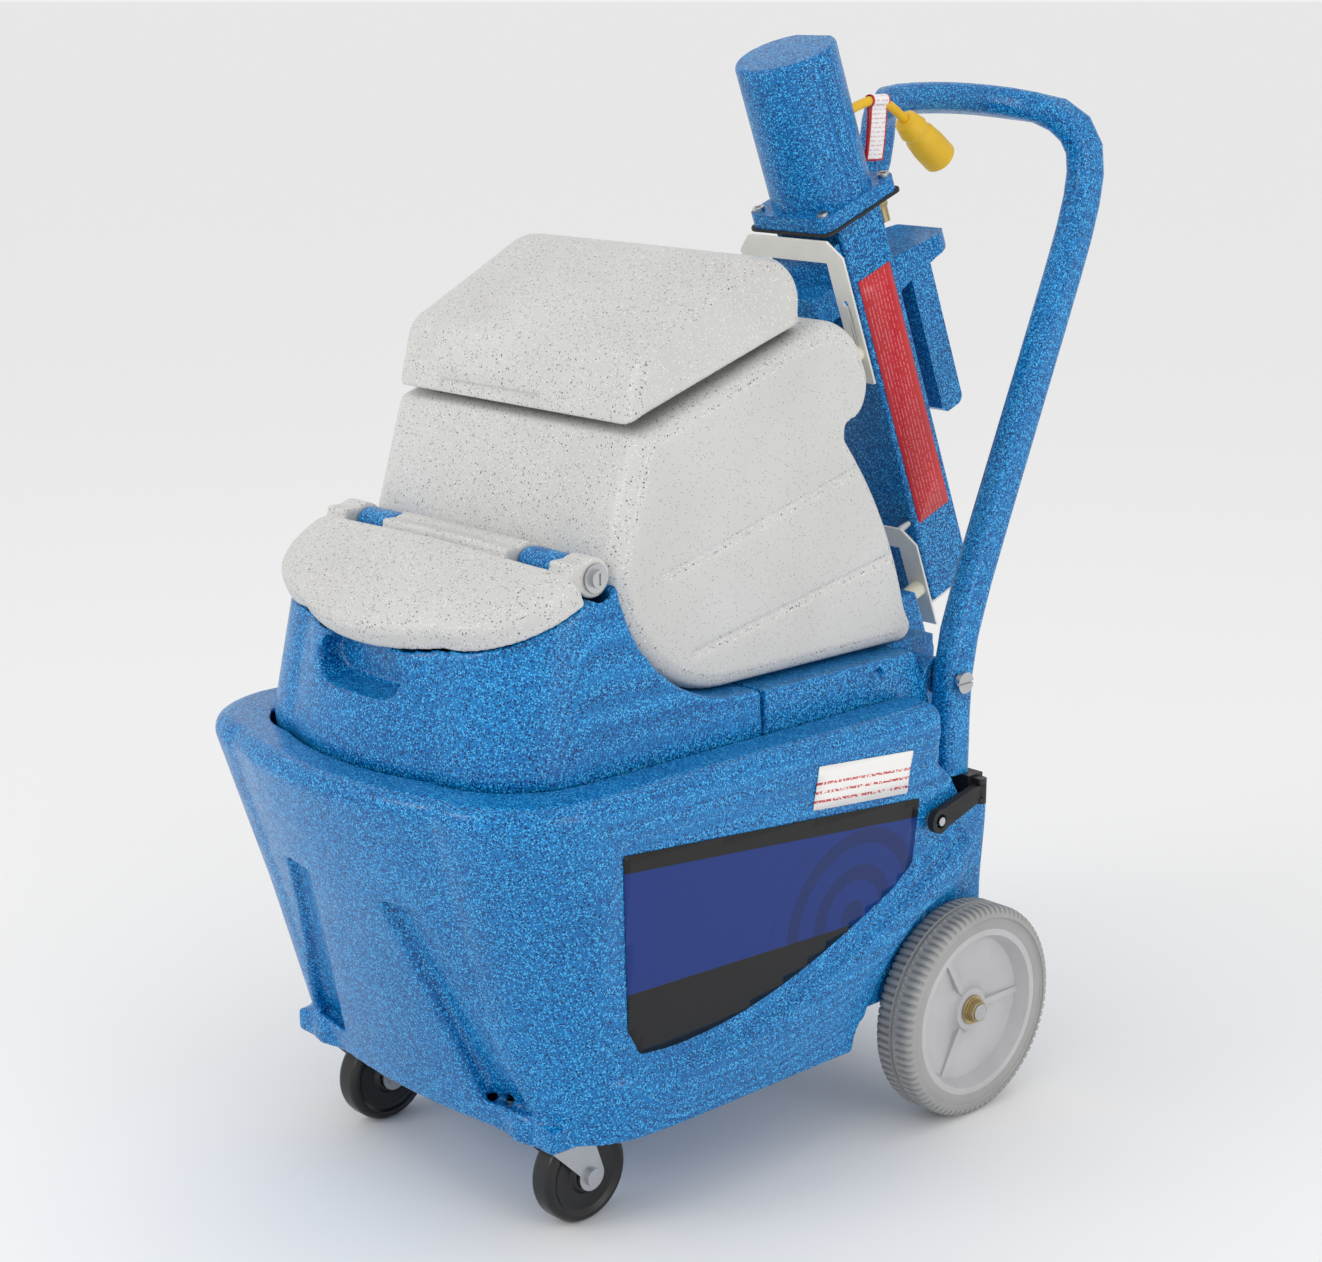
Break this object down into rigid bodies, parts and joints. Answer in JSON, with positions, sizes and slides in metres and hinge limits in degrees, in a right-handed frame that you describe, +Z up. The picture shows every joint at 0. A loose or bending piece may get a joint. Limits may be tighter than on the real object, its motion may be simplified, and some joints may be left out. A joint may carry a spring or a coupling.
{
  "type": "carpet extractor",
  "caption": "Wheeled carpet extractor with solution and recovery tanks under hinged lids, a leaning inline heater tower, a folding push handle, swivel casters and large rear wheels.",
  "frame": {"origin": "on the floor under the middle of the overall box", "axes": "+Z up; the front of the machine faces -Y and the push handle is at +Y; +X is the operator's left"},
  "size_m": [0.48, 0.8448, 0.9851],
  "materials": {
    "blue_granite": "speckled blue, semi-gloss rotationally moulded plastic",
    "grey_granite": "speckled light grey, semi-gloss moulded plastic",
    "blue_enamel": "blue painted sheet metal",
    "white_enamel": "white powder coat",
    "zinc": "bright zinc plate",
    "brass": "machined brass",
    "black_rubber": "matt black rubber",
    "grey_tyre": "non-marking grey rubber",
    "grey_hub": "moulded grey hub",
    "caster_black": "black moulded wheel",
    "nylon": "natural nylon",
    "yellow_plug": "yellow moulded plastic",
    "yellow_cord": "yellow cord jacket",
    "tag_paper": "coated paper",
    "black_plastic": "black moulded plastic",
    "clear_grey": "grey pipe plastic",
    "red_rocker": "red rocker"
  },
  "bodies": {
    "frame": {"base_tub": "blue_granite", "solution_tank": "blue_granite", "rear_housing": "blue_granite", "recovery_tank": "grey_granite", "tank_gasket": "black_rubber", "recovery_lid_pin": "zinc", "solution_lid_pin": "zinc", "lid_pin_screws": "zinc", "heater_box": "blue_enamel", "heater_core": "zinc", "heater_gasket": "black_rubber", "heater_cap": "blue_enamel", "flange_screws": "zinc", "thermostat_cover": "blue_enamel", "upper_bracket": "white_enamel", "lower_bracket": "white_enamel", "bracket_standoffs": "zinc", "nylon_spacers": "nylon", "cord_hook": "blue_enamel", "brass_elbow": "brass", "strain_relief": "black_rubber", "pigtail_cord": "yellow_cord", "cord_connector": "yellow_plug", "cord_tag": "tag_paper", "handle_bolts": "zinc", "latch_keepers": "zinc", "rear_axle": "zinc", "axle_brackets": "zinc", "axle_nuts": "brass", "caster_plates": "zinc", "caster_bolts": "zinc", "vacuum_motor": "black_plastic", "solution_pump": "zinc", "solution_hose": "black_rubber", "vacuum_standpipe": "clear_grey", "float_cage": "clear_grey", "vacuum_port": "black_plastic", "drain_valve": "brass", "switch_panel": "black_plastic", "power_inlet": "black_plastic"},
    "wheel_left": {"wheel_hub_left": "grey_hub", "tyre_left": "grey_tyre"},
    "wheel_right": {"wheel_hub_right": "grey_hub", "tyre_right": "grey_tyre"},
    "caster_left": {"caster_fork_left": "zinc"},
    "caster_right": {"caster_fork_right": "zinc"},
    "caster_wheel_left": {"caster_wheel_left": "caster_black"},
    "caster_wheel_right": {"caster_wheel_right": "caster_black"},
    "solution_lid": {"solution_lid": "grey_granite"},
    "recovery_lid": {"recovery_lid": "grey_granite"},
    "handle": {"handle": "blue_granite", "latch_brackets": "black_plastic", "latch_screws": "zinc"},
    "latch_left": {"latch_strap_left": "black_rubber"},
    "latch_right": {"latch_strap_right": "black_rubber"},
    "float": {"float_ball": "nylon"},
    "drain_lever": {"drain_lever": "red_rocker"},
    "rocker_1": {"rocker_switch_1": "red_rocker"},
    "rocker_2": {"rocker_switch_2": "red_rocker"},
    "rocker_3": {"rocker_switch_3": "red_rocker"}
  },
  "joints": [
    {"name": "wheel_left_spin", "type": "hinge", "parent": "frame", "child": "wheel_left", "pos_m": [0.218, 0.16459, 0.1016], "axis": [1, 0, 0], "continuous": true},
    {"name": "caster_left_swivel", "type": "hinge", "parent": "frame", "child": "caster_left", "pos_m": [0.139, -0.27641, 0.097], "axis": [0, 0, 1], "continuous": true},
    {"name": "caster_left_roll", "type": "hinge", "parent": "caster_left", "child": "caster_wheel_left", "pos_m": [0.139, -0.24641, 0.04445], "axis": [1, 0, 0], "continuous": true},
    {"name": "wheel_right_spin", "type": "hinge", "parent": "frame", "child": "wheel_right", "pos_m": [-0.218, 0.16459, 0.1016], "axis": [1, 0, 0], "continuous": true},
    {"name": "caster_right_swivel", "type": "hinge", "parent": "frame", "child": "caster_right", "pos_m": [-0.139, -0.27641, 0.097], "axis": [0, 0, 1], "continuous": true},
    {"name": "caster_right_roll", "type": "hinge", "parent": "caster_right", "child": "caster_wheel_right", "pos_m": [-0.139, -0.24641, 0.04445], "axis": [1, 0, 0], "continuous": true},
    {"name": "solution_lid_hinge", "type": "hinge", "parent": "frame", "child": "solution_lid", "pos_m": [0, -0.24641, 0.57], "axis": [-1, 0, 0], "range_deg": [0, 95]},
    {"name": "recovery_lid_hinge", "type": "hinge", "parent": "frame", "child": "recovery_lid", "pos_m": [0, 0.01159, 0.761], "axis": [-1, 0, 0], "range_deg": [0, 92]},
    {"name": "handle_fold", "type": "hinge", "parent": "frame", "child": "handle", "pos_m": [0, 0.15459, 0.418], "axis": [1, 0, 0], "range_deg": [0, 12]},
    {"name": "latch_left_swing", "type": "hinge", "parent": "handle", "child": "latch_left", "pos_m": [0.228, 0.16759, 0.316], "axis": [0, 0, 1], "range_deg": [0, 108]},
    {"name": "latch_right_swing", "type": "hinge", "parent": "handle", "child": "latch_right", "pos_m": [-0.228, 0.16759, 0.316], "axis": [0, 0, -1], "range_deg": [0, 108]},
    {"name": "float_rise", "type": "slide", "parent": "frame", "child": "float", "axis": [0, 0, 1], "range_m": [0, 0.029]},
    {"name": "drain_lever_turn", "type": "hinge", "parent": "frame", "child": "drain_lever", "pos_m": [-0.112, 0.16059, 0.5], "axis": [0, 0, 1], "range_deg": [0, 90]},
    {"name": "rocker_1_tip", "type": "hinge", "parent": "frame", "child": "rocker_1", "pos_m": [-0.112, 0.21187, 0.418], "axis": [1, 0, 0], "range_deg": [0, 7]},
    {"name": "rocker_2_tip", "type": "hinge", "parent": "frame", "child": "rocker_2", "pos_m": [-0.112, 0.21187, 0.384], "axis": [1, 0, 0], "range_deg": [0, 7]},
    {"name": "rocker_3_tip", "type": "hinge", "parent": "frame", "child": "rocker_3", "pos_m": [-0.112, 0.21187, 0.35], "axis": [1, 0, 0], "range_deg": [0, 7]}
  ],
  "couplings": [
    {"joint": "latch_left_swing", "follows": "handle_fold", "ratio": 9},
    {"joint": "latch_right_swing", "follows": "handle_fold", "ratio": 9}
  ]
}
